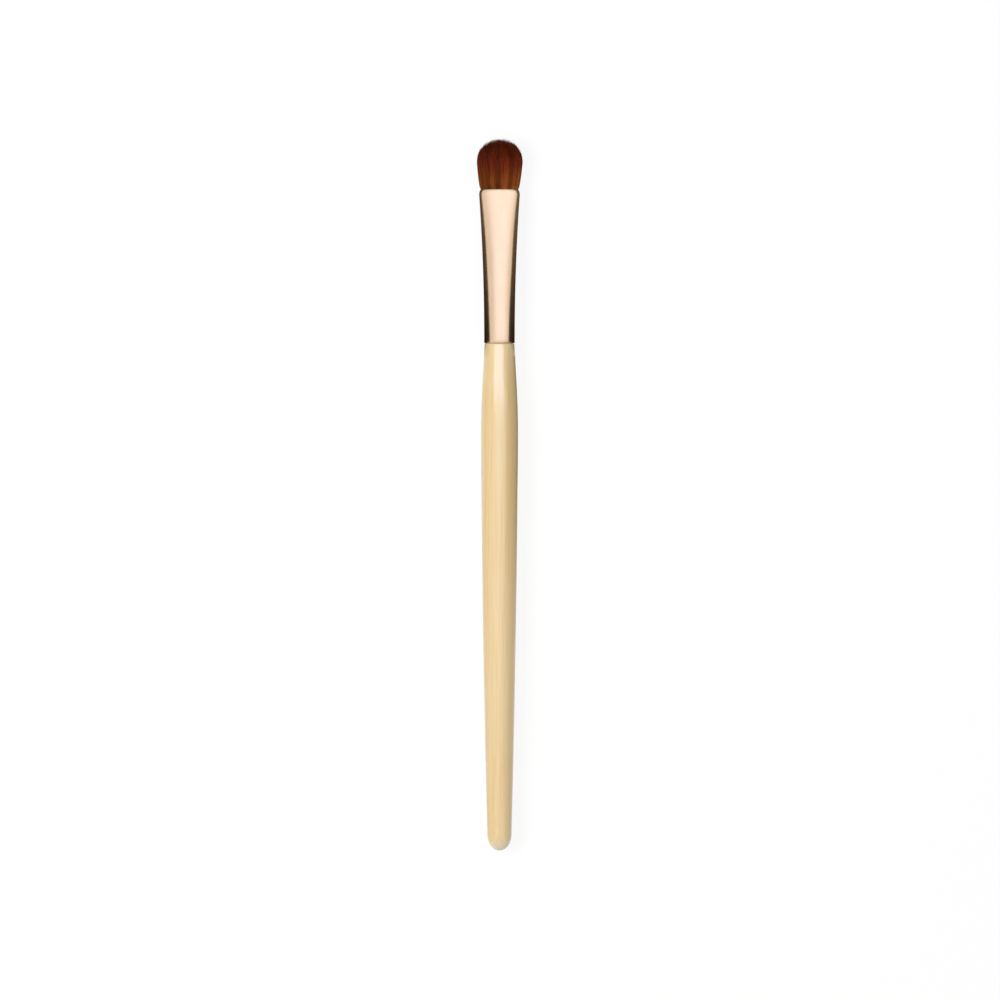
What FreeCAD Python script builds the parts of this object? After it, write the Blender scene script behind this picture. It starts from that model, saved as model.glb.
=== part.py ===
import FreeCAD, Part
import math
import os
import Sketcher

# Eyeshadow brush: a turned wooden handle glued into a drawn metal ferrule that holds a filbert tuft of hair.
# Every piece is drawn upright on its own Z axis, with Z = 0 at the round end of the ferrule, the handle below
# and the hair above. X is the broad way of the ferrule and the tuft, and Y the flat way. All pieces are then
# laid down together: the axis along +Y, a flat face upwards, and the belly of the handle on the Z = 0 plane.

SIZES = {
    # Handle, measured from the shoulder that meets the ferrule down to the butt
    "handle_length": 113.9,
    "neck_step": 0.1,
    "neck_cone_length": 9.3,
    "belly_diameter": 8.32,
    "belly_distance": 20.5,
    "belly_run": 1.2,
    "tail_diameter": 5.45,
    "butt_length": 3.7,
    "nose_radius": 2,
    "tenon_length": 12,
    "tenon_chamfer": 0.6,
    "shoulder_gap": 0.05,
    # Ferrule, measured from its round end up to its flat mouth
    "ferrule_length": 34.7,
    "ferrule_diameter": 6.85,
    "ferrule_wall": 0.45,
    "squeeze_out": 0.25,
    "squeeze_in": 0.15,
    "mouth_width": 9.05,
    "mouth_thickness": 3.8,
    "lip_length": 0.8,
    "lip_round": 0.22,
    "lip_turn_in": 0.06,
    # Hair, outside the mouth and set into it
    "hair_length": 11.4,
    "hair_belly_height": 6.5,
    "hair_belly_width": 10.28,
    "hair_belly_thickness": 5,
    "root_depth": 11,
    "stub_length": 3,
    # Binding, resin and glue that hold the hair and the handle
    "tie_height": 1.4,
    "tie_thickness": 0.4,
    "resin_gap": 1,
    "glue_thickness": 0.2,
    "fit_gap": 0.03,
}

LAID_DOWN = FreeCAD.Rotation(FreeCAD.Vector(1, 0, 0), -90)
PLACE_ALONG = "(sizes.handle_length - sizes.ferrule_length - sizes.hair_length) / 2"
PLACE_UP = "sizes.belly_diameter / 2"

# Heights on the axis that more than one piece uses
LIP_BASE = "(sizes.ferrule_length - sizes.lip_length)"
MOUTH = "sizes.ferrule_length"
ROOT = "(sizes.ferrule_length - sizes.root_depth)"
TIE_TOP = f"({ROOT} - sizes.fit_gap)"
TIE_FOOT = f"({TIE_TOP} - sizes.tie_height)"
RESIN_TOP = f"({TIE_FOOT} - sizes.fit_gap)"
RESIN_FOOT = "(sizes.tenon_length + sizes.resin_gap)"

# Insets from the outside of the ferrule
BORE_INSET = "sizes.ferrule_wall"
CORE_INSET = "(sizes.ferrule_wall + sizes.fit_gap)"

# Where the squeeze starts, at the end of the tenon, the ferrule is broader and flatter than its round end
SQUEEZE_WIDTH = "(sizes.ferrule_diameter + sizes.squeeze_out)"
SQUEEZE_THICKNESS = "(sizes.ferrule_diameter - sizes.squeeze_in)"

# The ferrule stands a step proud of the neck, and the tenon leaves room for glue where its bore is tightest
NECK_RADIUS = "(sizes.ferrule_diameter / 2 - sizes.neck_step)"
BORE_RADIUS = f"({SQUEEZE_THICKNESS} / 2 - sizes.ferrule_wall)"
TENON_RADIUS = f"({BORE_RADIUS} - sizes.glue_thickness)"

# The tied end of the hair is slimmer than every section of the bore
STUB_WIDTH = f"({SQUEEZE_WIDTH} - 2 * sizes.ferrule_wall - 2 * sizes.tie_thickness)"
STUB_THICKNESS = "(sizes.mouth_thickness - 2 * sizes.ferrule_wall)"

QUARTER_TURN = math.pi / 2
UP = FreeCAD.Vector(0, 0, 1)

# Sections start at these rough sizes, in the right order, and their dimensions then set them
ROUGH_RADIUS = 2
ROUGH_REACH = 5


def point(x, y):
    """A point of a sketch."""
    return FreeCAD.Vector(x, y, 0)


def arc(centre, radius, start, end):
    """An arc of a circle, anticlockwise between two angles in radians."""
    return Part.ArcOfCircle(Part.Circle(centre, UP, radius), start, end)


def make_sheet(doc):
    """Puts the driving dimensions, in millimetres, into the document's sheet."""
    sheet = doc.addObject("Spreadsheet::Sheet", "sizes")
    for row, (name, value) in enumerate(SIZES.items(), start=1):
        sheet.set(f"A{row}", name)
        sheet.set(f"B{row}", str(value))
        sheet.setAlias(f"B{row}", name)
    doc.recompute()
    return sheet


def make_body(doc, name):
    """An empty body, laid down with the rest of the brush."""
    body = doc.addObject("PartDesign::Body", name)
    body.Label = name
    body.Placement = FreeCAD.Placement(FreeCAD.Vector(), LAID_DOWN)
    body.setExpression("Placement.Base.y", PLACE_ALONG)
    body.setExpression("Placement.Base.z", PLACE_UP)
    return body


def make_sketch(body, name, role, height=None):
    """An empty sketch on one of the body's own planes, raised along Z where a height is given."""
    plane = next(item for item in body.Origin.OriginFeatures if item.Role == role)
    sketch = body.newObject("Sketcher::SketchObject", f"{body.Label}_{name}")
    sketch.AttachmentSupport = [(plane, "")]
    sketch.MapMode = "FlatFace"
    if height:
        sketch.setExpression("AttachmentOffset.Base.z", height)
    return sketch


def constrain(sketch, kind, *items):
    """Adds a geometric constraint."""
    sketch.addConstraint(Sketcher.Constraint(kind, *items))


def dimension(sketch, expression, kind, *items):
    """Adds a dimension that follows an expression of the sheet's sizes."""
    index = sketch.addConstraint(Sketcher.Constraint(kind, *items, 1.0))
    sketch.setExpression(f"Constraints[{index}]", expression)


def circle_section(body, name, height, diameter):
    """A round section across the axis."""
    sketch = make_sketch(body, name, "XY_Plane", height)
    sketch.addGeometry(Part.Circle(point(0, 0), UP, ROUGH_RADIUS))
    constrain(sketch, "Coincident", 0, 3, -1, 1)
    dimension(sketch, f"{diameter} / 2", "Radius", 0)
    return sketch


def ellipse_section(body, name, height, width, thickness):
    """An elliptical section across the axis, its long way along X."""
    sketch = make_sketch(body, name, "XY_Plane", height)
    sketch.addGeometry(Part.Ellipse(point(0, 0), ROUGH_REACH, ROUGH_RADIUS))
    sketch.exposeInternalGeometry(0)
    broad, flat = 1, 2
    constrain(sketch, "Coincident", 0, 3, -1, 1)
    constrain(sketch, "Horizontal", broad)
    dimension(sketch, width, "Distance", broad)
    dimension(sketch, thickness, "Distance", flat)
    return sketch


def stadium_section(body, name, height, width, thickness):
    """A flattened round section across the axis: two half circles joined by two straight flats."""
    sketch = make_sketch(body, name, "XY_Plane", height)
    radius = ROUGH_RADIUS
    side = ROUGH_REACH - ROUGH_RADIUS
    sketch.addGeometry(arc(point(side, 0), radius, -QUARTER_TURN, QUARTER_TURN))
    sketch.addGeometry(Part.LineSegment(point(side, radius), point(-side, radius)))
    sketch.addGeometry(arc(point(-side, 0), radius, QUARTER_TURN, 3 * QUARTER_TURN))
    sketch.addGeometry(Part.LineSegment(point(-side, -radius), point(side, -radius)))
    for edge in range(4):
        constrain(sketch, "Tangent", edge, 2, (edge + 1) % 4, 1)
    constrain(sketch, "Equal", 0, 2)
    constrain(sketch, "Symmetric", 0, 3, 2, 3, -1, 1)
    constrain(sketch, "Horizontal", 1)
    dimension(sketch, f"{thickness} / 2", "Radius", 0)
    dimension(sketch, f"{width} - {thickness}", "DistanceX", 2, 3, 0, 3)
    return sketch


def loft(body, kind, name, sections, ruled=False):
    """Adds or takes away the form that runs through a list of sections."""
    body.Document.recompute()
    feature = body.newObject(f"PartDesign::{kind}Loft", f"{body.Label}_{name}")
    feature.Profile = sections[0]
    feature.Sections = sections[1:]
    feature.Ruled = ruled
    body.Document.recompute()


def flare_sections(body, name, inset):
    """The round end, the start of the squeeze and the foot of the lip, all inside the ferrule's outside."""
    return [
        circle_section(body, f"{name}_round_end", None, f"(sizes.ferrule_diameter - 2 * {inset})"),
        stadium_section(
            body,
            f"{name}_squeeze",
            "sizes.tenon_length",
            f"({SQUEEZE_WIDTH} - 2 * {inset})",
            f"({SQUEEZE_THICKNESS} - 2 * {inset})",
        ),
        mouth_section(body, f"{name}_lip_base", LIP_BASE, inset),
    ]


def mouth_section(body, name, height, inset):
    """The flattened section near the mouth, inside the ferrule's outside."""
    width = f"(sizes.mouth_width - 2 * {inset})"
    thickness = f"(sizes.mouth_thickness - 2 * {inset})"
    return stadium_section(body, name, height, width, thickness)


def lip_sections(body, name, inset):
    """The foot and the edge of the mouth's way, which closes a little towards the hair."""
    return [
        mouth_section(body, f"{name}_foot", LIP_BASE, inset),
        mouth_section(body, f"{name}_edge", MOUTH, f"({inset} + sizes.lip_turn_in)"),
    ]


def rolled_lip_sections(body, steps=3):
    """The outside of the lip, rolled in along a quarter of an ellipse so that no sharp edge cuts the hair."""
    sections = []
    for step in range(steps + 1):
        turn = step / steps * QUARTER_TURN
        height = f"({LIP_BASE} + sizes.lip_length * {math.sin(turn)})"
        inset = f"(sizes.lip_round * {1 - math.cos(turn)})"
        sections.append(mouth_section(body, f"lip_{step}", height, inset))
    return sections


def stub_section(body, name, height, room="0"):
    """The section of the tied end of the hair, with room round it on every side."""
    width = f"({STUB_WIDTH} + 2 * {room})"
    thickness = f"({STUB_THICKNESS} + 2 * {room})"
    return stadium_section(body, name, height, width, thickness)


def pocket(body, name, sketch, depth=None, upwards=False):
    """Takes a sketch's area away, downwards or upwards, to a depth or right through."""
    body.Document.recompute()
    before = body.Shape.Volume
    feature = body.newObject("PartDesign::Pocket", f"{body.Label}_{name}")
    feature.Profile = sketch
    feature.Reversed = upwards
    if depth:
        feature.setExpression("Length", depth)
    else:
        feature.Type = "ThroughAll"
    body.Document.recompute()
    if not body.Shape.Volume < before:
        raise ValueError(f"{feature.Label} cuts nothing")


def trim(body, name, height, upwards):
    """Cuts the body off square to the axis and takes away what lies above or below."""
    room = "(sizes.ferrule_diameter + sizes.mouth_width)"
    pocket(body, name, circle_section(body, f"{name}_plane", height, room), upwards=upwards)


def core(body):
    """What fills the bore of the ferrule from its round end to the foot of the lip, less the fit."""
    loft(body, "Additive", "core", flare_sections(body, "core", CORE_INSET))


def handle_profile(body, sheet):
    """Half of the handle's outline: tenon, shoulder, neck cone, belly, barrel and rounded butt."""
    sketch = make_sketch(body, "profile", "XZ_Plane")
    tenon = (sheet.ferrule_diameter - sheet.squeeze_in) / 2 - sheet.ferrule_wall - sheet.glue_thickness
    chamfer = sheet.tenon_chamfer
    neck = point(sheet.ferrule_diameter / 2 - sheet.neck_step, -sheet.shoulder_gap)
    crest = point(sheet.belly_diameter / 2, -sheet.belly_distance)
    tail = point(sheet.tail_diameter / 2, sheet.butt_length - sheet.handle_length)
    nose = point(0, sheet.nose_radius - sheet.handle_length)
    top = point(0, sheet.tenon_length)
    butt = point(0, -sheet.handle_length)
    tenon_rim = point(tenon - chamfer, sheet.tenon_length)
    tenon_edge = point(tenon, sheet.tenon_length - chamfer)
    inner_corner = point(tenon, -sheet.shoulder_gap)

    # Where the curves meet is only near here: the tangencies below settle it
    rise = sheet.belly_distance - sheet.neck_cone_length
    belly_curve = rise * (sheet.belly_distance + sheet.neck_cone_length) / (2 * (crest.x - neck.x))
    belly = crest - point(belly_curve, 0)
    neck_turn = math.asin(rise / belly_curve)
    neck_end = belly + belly_curve * point(math.cos(neck_turn), math.sin(neck_turn))
    crest_turn = math.asin(sheet.belly_run / belly_curve)
    crest_end = belly + belly_curve * point(math.cos(crest_turn), -math.sin(crest_turn))
    run = crest_end.y - tail.y
    barrel_curve = run**2 / (2 * (crest_end.x - tail.x - run * math.tan(crest_turn)))
    barrel = crest_end - barrel_curve * point(math.cos(crest_turn), -math.sin(crest_turn))
    tail_turn = crest_turn + run / barrel_curve
    butt_curve = sheet.tail_diameter
    butt_side = tail - point(butt_curve, 0)
    nose_turn = QUARTER_TURN / 2

    outline = [
        Part.LineSegment(top, tenon_rim),
        Part.LineSegment(tenon_rim, tenon_edge),
        Part.LineSegment(tenon_edge, inner_corner),
        Part.LineSegment(inner_corner, neck),
        Part.LineSegment(neck, neck_end),
        arc(belly, belly_curve, -crest_turn, neck_turn),
        arc(barrel, barrel_curve, -tail_turn, -crest_turn),
        arc(butt_side, butt_curve, -nose_turn, -tail_turn),
        arc(nose, sheet.nose_radius, -QUARTER_TURN, -nose_turn),
        Part.LineSegment(butt, top),
    ]
    sketch.addGeometry(outline)
    rim, bevel, side, shoulder, cone, belly_arc, barrel_arc, butt_arc, nose_arc, axis = range(10)
    crest_mark = sketch.addGeometry(Part.Point(crest), True)
    origin = (-1, 1)
    upright = -2

    for edge in (rim, bevel, side, shoulder):
        constrain(sketch, "Coincident", edge, 2, edge + 1, 1)
    constrain(sketch, "Tangent", cone, 2, belly_arc, 2)
    constrain(sketch, "Tangent", belly_arc, 1, barrel_arc, 2)
    constrain(sketch, "Tangent", barrel_arc, 1, butt_arc, 2)
    constrain(sketch, "Tangent", butt_arc, 1, nose_arc, 2)
    constrain(sketch, "Coincident", nose_arc, 1, axis, 1)
    constrain(sketch, "Coincident", axis, 2, rim, 1)
    for edge, place in ((axis, 1), (axis, 2), (nose_arc, 3)):
        constrain(sketch, "PointOnObject", edge, place, upright)
    constrain(sketch, "Horizontal", rim)
    constrain(sketch, "Vertical", side)
    constrain(sketch, "Horizontal", shoulder)
    constrain(sketch, "PointOnObject", crest_mark, 1, belly_arc)
    constrain(sketch, "Horizontal", crest_mark, 1, belly_arc, 3)

    dimension(sketch, "sizes.tenon_length", "DistanceY", *origin, rim, 2)
    dimension(sketch, f"{TENON_RADIUS} - sizes.tenon_chamfer", "DistanceX", *origin, rim, 2)
    dimension(sketch, TENON_RADIUS, "DistanceX", *origin, side, 1)
    dimension(sketch, "sizes.tenon_length - sizes.tenon_chamfer", "DistanceY", *origin, side, 1)
    dimension(sketch, "sizes.shoulder_gap", "DistanceY", side, 2, *origin)
    dimension(sketch, NECK_RADIUS, "DistanceX", *origin, cone, 1)
    dimension(sketch, "sizes.neck_cone_length", "DistanceY", cone, 2, *origin)
    dimension(sketch, "sizes.belly_diameter / 2", "DistanceX", *origin, crest_mark, 1)
    dimension(sketch, "sizes.belly_distance", "DistanceY", crest_mark, 1, *origin)
    dimension(sketch, "sizes.belly_distance + sizes.belly_run", "DistanceY", belly_arc, 1, *origin)
    dimension(sketch, "sizes.tail_diameter / 2", "DistanceX", *origin, barrel_arc, 1)
    dimension(sketch, "sizes.handle_length - sizes.butt_length", "DistanceY", barrel_arc, 1, *origin)
    dimension(sketch, "sizes.nose_radius", "Radius", nose_arc)
    dimension(sketch, "sizes.handle_length", "DistanceY", nose_arc, 1, *origin)
    return sketch


def make_handle(doc, sheet):
    """The turned wooden handle, with the tenon that goes into the ferrule."""
    body = make_body(doc, "handle")
    profile = handle_profile(body, sheet)
    doc.recompute()
    turned = body.newObject("PartDesign::Revolution", "handle_turned")
    turned.Profile = profile
    turned.ReferenceAxis = (profile, ["V_Axis"])
    turned.Angle = 360
    return body


def make_ferrule(doc):
    """The drawn tube: round where it takes the handle, squeezed flat at the mouth, its lip rolled in."""
    body = make_body(doc, "ferrule")
    loft(body, "Additive", "outside", flare_sections(body, "outside", "0"))
    loft(body, "Additive", "lip", rolled_lip_sections(body))
    loft(body, "Subtractive", "bore", flare_sections(body, "bore", BORE_INSET))
    loft(body, "Subtractive", "mouth", lip_sections(body, "mouth", BORE_INSET), ruled=True)
    return body


def make_hair(doc):
    """The hair: a slim tied stub, the bundle that fills the ferrule, the flare above the lip and the dome."""
    body = make_body(doc, "hair_tuft")
    core(body)
    trim(body, "root", ROOT, upwards=False)
    loft(body, "Additive", "lip", lip_sections(body, "lip", CORE_INSET), ruled=True)

    stub = body.newObject("PartDesign::Pad", "hair_tuft_stub")
    stub.Profile = stub_section(body, "stub_section", ROOT)
    stub.Reversed = True
    stub.setExpression("Length", "sizes.stub_length")

    lip_inset = f"2 * ({CORE_INSET} + sizes.lip_turn_in)"
    lip_width = f"(sizes.mouth_width - {lip_inset})"
    lip_thickness = f"(sizes.mouth_thickness - {lip_inset})"
    sections = [stadium_section(body, "flare_mouth", MOUTH, lip_width, lip_thickness)]
    steps = 3
    for step in range(1, steps + 1):
        rise = step / steps
        swell = math.sin(rise * QUARTER_TURN)
        sections.append(
            ellipse_section(
                body,
                f"flare_{step}",
                f"{MOUTH} + sizes.hair_belly_height * {rise}",
                f"{lip_width} + (sizes.hair_belly_width - {lip_width}) * {swell}",
                f"{lip_thickness} + (sizes.hair_belly_thickness - {lip_thickness}) * {swell}",
            )
        )
    loft(body, "Additive", "flare", sections)

    dome = body.newObject("PartDesign::AdditiveEllipsoid", "hair_tuft_dome")
    dome.AttachmentSupport = sections[0].AttachmentSupport
    dome.MapMode = "FlatFace"
    dome.setExpression("AttachmentOffset.Base.z", f"{MOUTH} + sizes.hair_belly_height")
    dome.setExpression("Radius1", "sizes.hair_length - sizes.hair_belly_height")
    dome.setExpression("Radius2", "sizes.hair_belly_width / 2")
    dome.setExpression("Radius3", "sizes.hair_belly_thickness / 2")
    dome.Angle1 = 0
    dome.Angle2 = 90
    return body


def make_tie(doc):
    """The band of thread wound round the tied end of the hair."""
    body = make_body(doc, "tie_thread")
    core(body)
    trim(body, "top", TIE_TOP, upwards=True)
    trim(body, "foot", TIE_FOOT, upwards=False)
    pocket(body, "hair_way", stub_section(body, "hair_way_section", TIE_TOP, "sizes.fit_gap"))
    return body


def make_resin(doc):
    """The cast plug that locks the hair roots into the ferrule, with the stub of the hair sunk in its top."""
    body = make_body(doc, "root_resin")
    core(body)
    trim(body, "top", RESIN_TOP, upwards=True)
    trim(body, "foot", RESIN_FOOT, upwards=False)
    depth = f"{RESIN_TOP} - {ROOT} + sizes.stub_length + sizes.fit_gap"
    pocket(body, "recess", stub_section(body, "recess_section", RESIN_TOP, "sizes.fit_gap"), depth)
    return body


def make_glue(doc):
    """The sleeve of glue between the tenon and the bore."""
    body = make_body(doc, "handle_glue")
    top = "(sizes.tenon_length - 2 * sizes.tenon_chamfer)"
    outside = f"(2 * ({BORE_RADIUS} - sizes.fit_gap))"
    inside = f"(2 * ({TENON_RADIUS} + sizes.fit_gap))"
    sleeve = body.newObject("PartDesign::Pad", "handle_glue_sleeve")
    sleeve.Profile = circle_section(body, "sleeve_section", "sizes.fit_gap", outside)
    sleeve.setExpression("Length", f"{top} - sizes.fit_gap")
    pocket(body, "tenon_way", circle_section(body, "tenon_way_section", top, inside))
    return body


def check(doc, bodies):
    """Stops if an object of the document failed or a piece isn't one valid solid."""
    for item in doc.Objects:
        if "Invalid" in item.State or "Error" in item.State:
            raise ValueError(f"{item.Label} failed: {item.State}")
    for body in bodies:
        shape = body.Shape
        if shape.isNull() or not shape.isValid() or len(shape.Solids) != 1:
            raise ValueError(f"{body.Label} is not one valid solid")
        print(f"{body.Label}: {shape.Volume:.1f} mm3")


doc = FreeCAD.newDocument("eyeshadow_brush")
sheet = make_sheet(doc)
pieces = [
    make_handle(doc, sheet),
    make_ferrule(doc),
    make_hair(doc),
    make_tie(doc),
    make_resin(doc),
    make_glue(doc),
]
doc.recompute()
check(doc, pieces)
os.makedirs("parts", exist_ok=True)
for piece in pieces:
    piece.Shape.exportStep(f"parts/{piece.Label}.step")
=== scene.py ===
"""Eyeshadow brush: lacquered wooden handle, rose-gold ferrule and a filbert tuft of brown hair.

Lengths in the classes of the pieces are in millimetres and become metres when a piece is made. Those of
the finishes, the lamps, the cards and the studio are in metres. The brush lies along +Y, from the butt of
the handle to the tip of the hair, with the broad way of the ferrule along X.
"""

import logging
import math
from dataclasses import dataclass, field
from enum import Enum
from functools import cache

import bmesh
import bpy
import numpy as np
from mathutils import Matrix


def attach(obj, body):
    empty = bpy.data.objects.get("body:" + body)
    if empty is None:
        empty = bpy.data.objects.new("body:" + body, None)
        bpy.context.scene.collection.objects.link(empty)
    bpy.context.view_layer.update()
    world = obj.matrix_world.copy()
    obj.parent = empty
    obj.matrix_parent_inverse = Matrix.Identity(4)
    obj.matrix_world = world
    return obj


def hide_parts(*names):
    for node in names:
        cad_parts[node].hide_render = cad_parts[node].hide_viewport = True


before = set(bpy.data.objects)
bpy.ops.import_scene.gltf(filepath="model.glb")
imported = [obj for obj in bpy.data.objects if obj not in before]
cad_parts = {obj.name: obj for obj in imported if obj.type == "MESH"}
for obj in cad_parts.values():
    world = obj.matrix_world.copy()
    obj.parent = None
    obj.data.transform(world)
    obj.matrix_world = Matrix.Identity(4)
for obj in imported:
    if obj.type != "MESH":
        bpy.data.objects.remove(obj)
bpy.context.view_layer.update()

LOG = logging.getLogger("eyeshadow_brush")
MM = 0.001
AXIS_HEIGHT = 4.16
SEAM = 33.9
BODY = "root"
HAIR_MAP = "OFBake"
EFFECT_DEFAULTS = {"Across": 1000.0, "Along": 50.0, "Detail": 2.0}
NOISE_ROUGHNESS = 0.55
NOISE_MIDDLE = (0.3, 0.7)
FERRULE_ROWS = (0.0305, 0.051, 0.095)
# Colours of the cards that show only in reflections. Along the ferrule they paint dark reflections on its
# sides, lighter towards the mouth. Beside the handle they paint a warm shade into the lacquer's right side.
FERRULE_PAINTED_REFLECTIONS = ((0.014, 0.007, 0.002), (0.375, 0.296, 0.21))
LACQUER_PAINTED_SHADE = ((0.7, 0.35, 0.055), (0.25, 0.14, 0.04))
OVERHEAD_TINT = (0.9, 1.0, 1.09)

Colour = tuple[float, float, float]
Socket = bpy.types.NodeSocket


class Slot(Enum):
    """The record's material slots that the new pieces take their finish from."""

    WOOD = "lacquered_wood"
    METAL = "rose_gold_metal"
    HAIR = "brown_hair"


class Effect(Enum):
    """Surface effects that several finishes share, each a shader node group."""

    STREAKS = "lengthwise_streaks"
    MOTTLE = "fine_mottle"


class Side(Enum):
    """The sides of the brush, as signs along X."""

    LEFT = -1
    RIGHT = 1


def opaque(colour: Colour) -> tuple[float, float, float, float]:
    """The colour with full alpha."""
    return (*colour, 1.0)


@cache
def effect_group(effect: Effect) -> bpy.types.NodeTree:
    """Builds a shared effect once: a noise in object space, drawn out along the brush or even all ways.

    Args:
        effect: which of the shared effects to build.

    Returns:
        The node group, with the scales of the noise as inputs and one value that varies over the surface.
    """
    group = bpy.data.node_groups.new(effect.value, "ShaderNodeTree")
    sockets = group.interface
    for name, default in EFFECT_DEFAULTS.items():
        socket = sockets.new_socket(name, in_out="INPUT", socket_type="NodeSocketFloat")
        socket.default_value = default
    sockets.new_socket("Value", in_out="OUTPUT", socket_type="NodeSocketFloat")
    nodes, links = group.nodes, group.links
    given = nodes.new("NodeGroupInput")
    result = nodes.new("NodeGroupOutput")
    place = nodes.new("ShaderNodeTexCoord")
    scale = nodes.new("ShaderNodeCombineXYZ")
    stretched = nodes.new("ShaderNodeVectorMath")
    stretched.operation = "MULTIPLY"
    noise = nodes.new("ShaderNodeTexNoise")
    noise.inputs["Scale"].default_value = 1.0
    noise.inputs["Roughness"].default_value = NOISE_ROUGHNESS
    links.new(given.outputs["Across"], scale.inputs["X"])
    along = "Along" if effect is Effect.STREAKS else "Across"
    links.new(given.outputs[along], scale.inputs["Y"])
    links.new(given.outputs["Across"], scale.inputs["Z"])
    links.new(place.outputs["Object"], stretched.inputs[0])
    links.new(scale.outputs["Vector"], stretched.inputs[1])
    links.new(stretched.outputs["Vector"], noise.inputs["Vector"])
    links.new(given.outputs["Detail"], noise.inputs["Detail"])
    links.new(noise.outputs[0], result.inputs["Value"])
    return group


class FinishBench:
    """A material while its nodes are wired."""

    def __init__(self, name: str) -> None:
        """Starts a material with a plain shader.

        Args:
            name: the material's name.
        """
        self.material = bpy.data.materials.new(name)
        self.material.use_nodes = True
        self.tree = self.material.node_tree
        self.shader = self.tree.nodes["Principled BSDF"]

    def node(self, kind: str, **inputs: object) -> bpy.types.Node:
        """Adds a node and feeds its inputs.

        Args:
            kind: the node's type.
            inputs: a value or an output socket for each named input.

        Returns:
            The node.
        """
        node = self.tree.nodes.new(kind)
        self.feed(node, **inputs)
        return node

    def feed(self, node: bpy.types.Node, **inputs: object) -> None:
        """Sets or links inputs, with _ for a space in their names.

        Args:
            node: the node to feed.
            inputs: a value or an output socket for each named input.
        """
        for name, value in inputs.items():
            socket = node.inputs[name.replace("_", " ")]
            if isinstance(value, Socket):
                self.tree.links.new(value, socket)
            else:
                socket.default_value = value

    def effect(self, effect: Effect, **inputs: float) -> Socket:
        """Places a shared effect.

        Args:
            effect: which effect.
            inputs: its scales and detail.

        Returns:
            The value that varies over the surface.
        """
        node = self.tree.nodes.new("ShaderNodeGroup")
        node.node_tree = effect_group(effect)
        self.feed(node, **inputs)
        return node.outputs["Value"]

    def ramp(self, factor: Socket, stops: list[tuple[float, Colour]]) -> Socket:
        """Colours a value.

        Args:
            factor: the value, from 0 to 1.
            stops: places along the ramp and their colours.

        Returns:
            The colour.
        """
        node = self.node("ShaderNodeValToRGB", Fac=factor)
        points = node.color_ramp.elements
        while len(points) < len(stops):
            points.new(0.5)
        for point, (place, colour) in zip(points, stops):
            point.position = place
            point.color = opaque(colour)
        return node.outputs["Color"]

    def mapped(
        self, value: Socket, span: tuple[float, float], low: float | Socket, high: float | Socket
    ) -> Socket:
        """Maps a span of a value onto a range.

        Args:
            value: the value.
            span: the start and the end of the span.
            low: what the start becomes.
            high: what the end becomes.

        Returns:
            The value in the new range.
        """
        start, end = span
        node = self.node("ShaderNodeMapRange", Value=value, From_Min=start, From_Max=end)
        self.feed(node, To_Min=low, To_Max=high)
        return node.outputs["Result"]

    def spread(self, value: Socket, low: float, high: float) -> Socket:
        """The middle of a noise, mapped onto a range."""
        return self.mapped(value, NOISE_MIDDLE, low, high)

    def blend(self, first: Socket, second: Socket, share: float) -> Socket:
        """Mixes two values.

        Args:
            first: a value.
            second: another value.
            share: how much of the second goes in.

        Returns:
            The mixture.
        """
        node = self.tree.nodes.new("ShaderNodeMix")
        node.inputs["Factor"].default_value = share
        self.tree.links.new(first, node.inputs["A"])
        self.tree.links.new(second, node.inputs["B"])
        return node.outputs["Result"]

    def added(self, first: Socket, second: Socket) -> Socket:
        """Adds two values.

        Args:
            first: a value.
            second: another value.

        Returns:
            The sum.
        """
        node = self.tree.nodes.new("ShaderNodeMath")
        self.tree.links.new(first, node.inputs[0])
        self.tree.links.new(second, node.inputs[1])
        return node.outputs["Value"]

    def along_brush(self, start: float, end: float, low: float, high: float) -> Socket:
        """A value that changes evenly along the brush.

        Args:
            start: where the change starts, in metres along Y.
            end: where it ends.
            low: the value at the start.
            high: the value at the end.

        Returns:
            The value.
        """
        place = self.node("ShaderNodeTexCoord")
        split = self.node("ShaderNodeSeparateXYZ", Vector=place.outputs["Object"])
        return self.mapped(split.outputs["Y"], (start, end), low, high)

    def relief(self, height: Socket, depth: float, strength: float) -> None:
        """Gives the surface a fine relief.

        Args:
            height: the relief's height, from 0 to 1.
            depth: what a height of 1 stands for, in metres.
            strength: how much of the relief shows.
        """
        bump = self.node("ShaderNodeBump", Height=height, Distance=depth, Strength=strength)
        self.feed(self.shader, Normal=bump.outputs["Normal"])


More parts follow.
